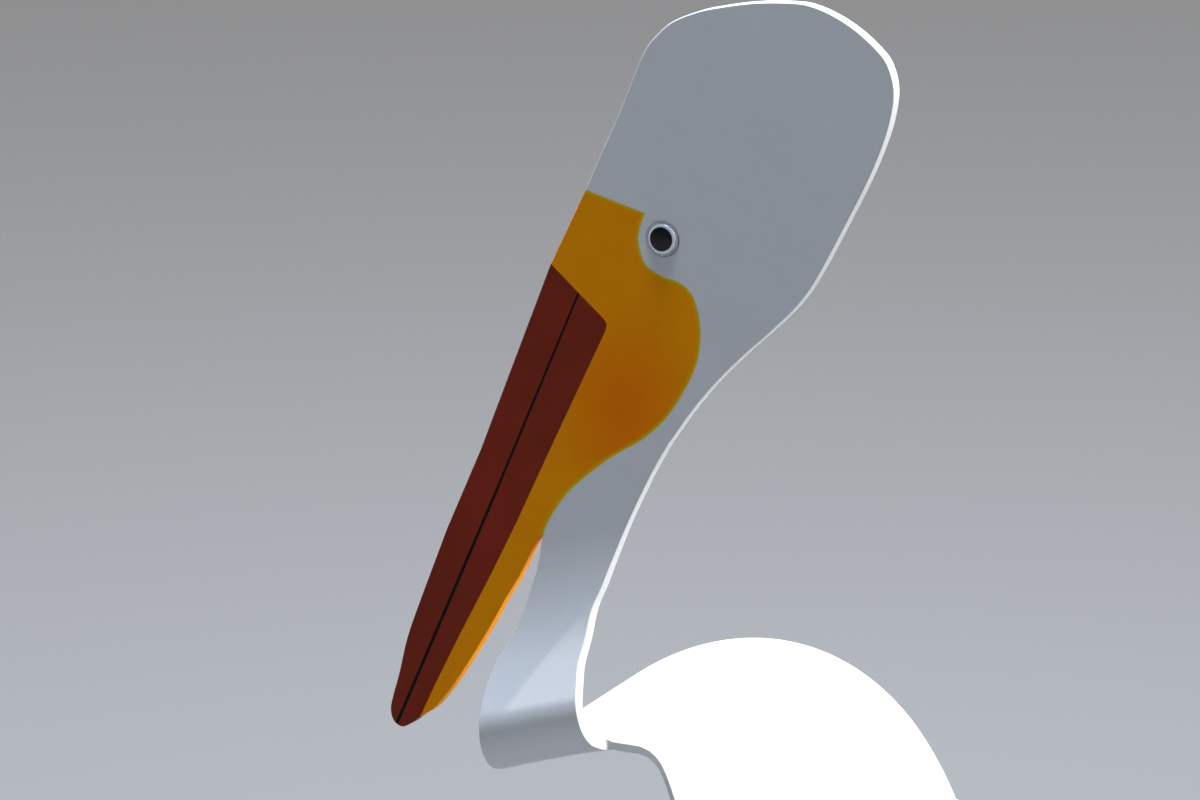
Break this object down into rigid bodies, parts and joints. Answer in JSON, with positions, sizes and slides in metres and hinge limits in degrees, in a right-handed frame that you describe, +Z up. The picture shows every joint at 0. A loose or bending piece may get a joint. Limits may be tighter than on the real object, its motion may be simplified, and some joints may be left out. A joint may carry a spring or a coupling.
{
  "type": "garden ornament pelican",
  "caption": "Pelican garden ornament cut and bent from one white plastic sheet, with painted face, pouch and bill, on a flat base with a short rod",
  "frame": {"origin": "centre of the underside of the box around the whole part", "axes": "+Z is up; the flat head panel stands in the XZ plane with the bill toward -X; the body runs back toward +Y and +X"},
  "size_m": [0.247, 0.2938, 0.4697],
  "materials": {
    "white_sheet": "smooth white plastic board",
    "orange_paint": "sprayed orange paint on plastic",
    "bill_paint": "dark red-brown paint on plastic",
    "eye_plastic": "glossy domed eye",
    "rod_steel": "brushed",
    "saddle_rubber": "matte",
    "base_paint": "satin powder coat"
  },
  "bodies": {
    "root": {"head": "white_sheet", "neck": "white_sheet", "breast": "white_sheet", "back": "white_sheet", "wing_left": "white_sheet", "wing_right": "white_sheet", "tail": "white_sheet", "pouch": "orange_paint", "bill": "bill_paint", "eye_left": "eye_plastic", "eye_right": "eye_plastic", "stand_rod": "rod_steel", "stand_saddle": "saddle_rubber", "stand_base": "base_paint"}
  },
  "joints": []
}
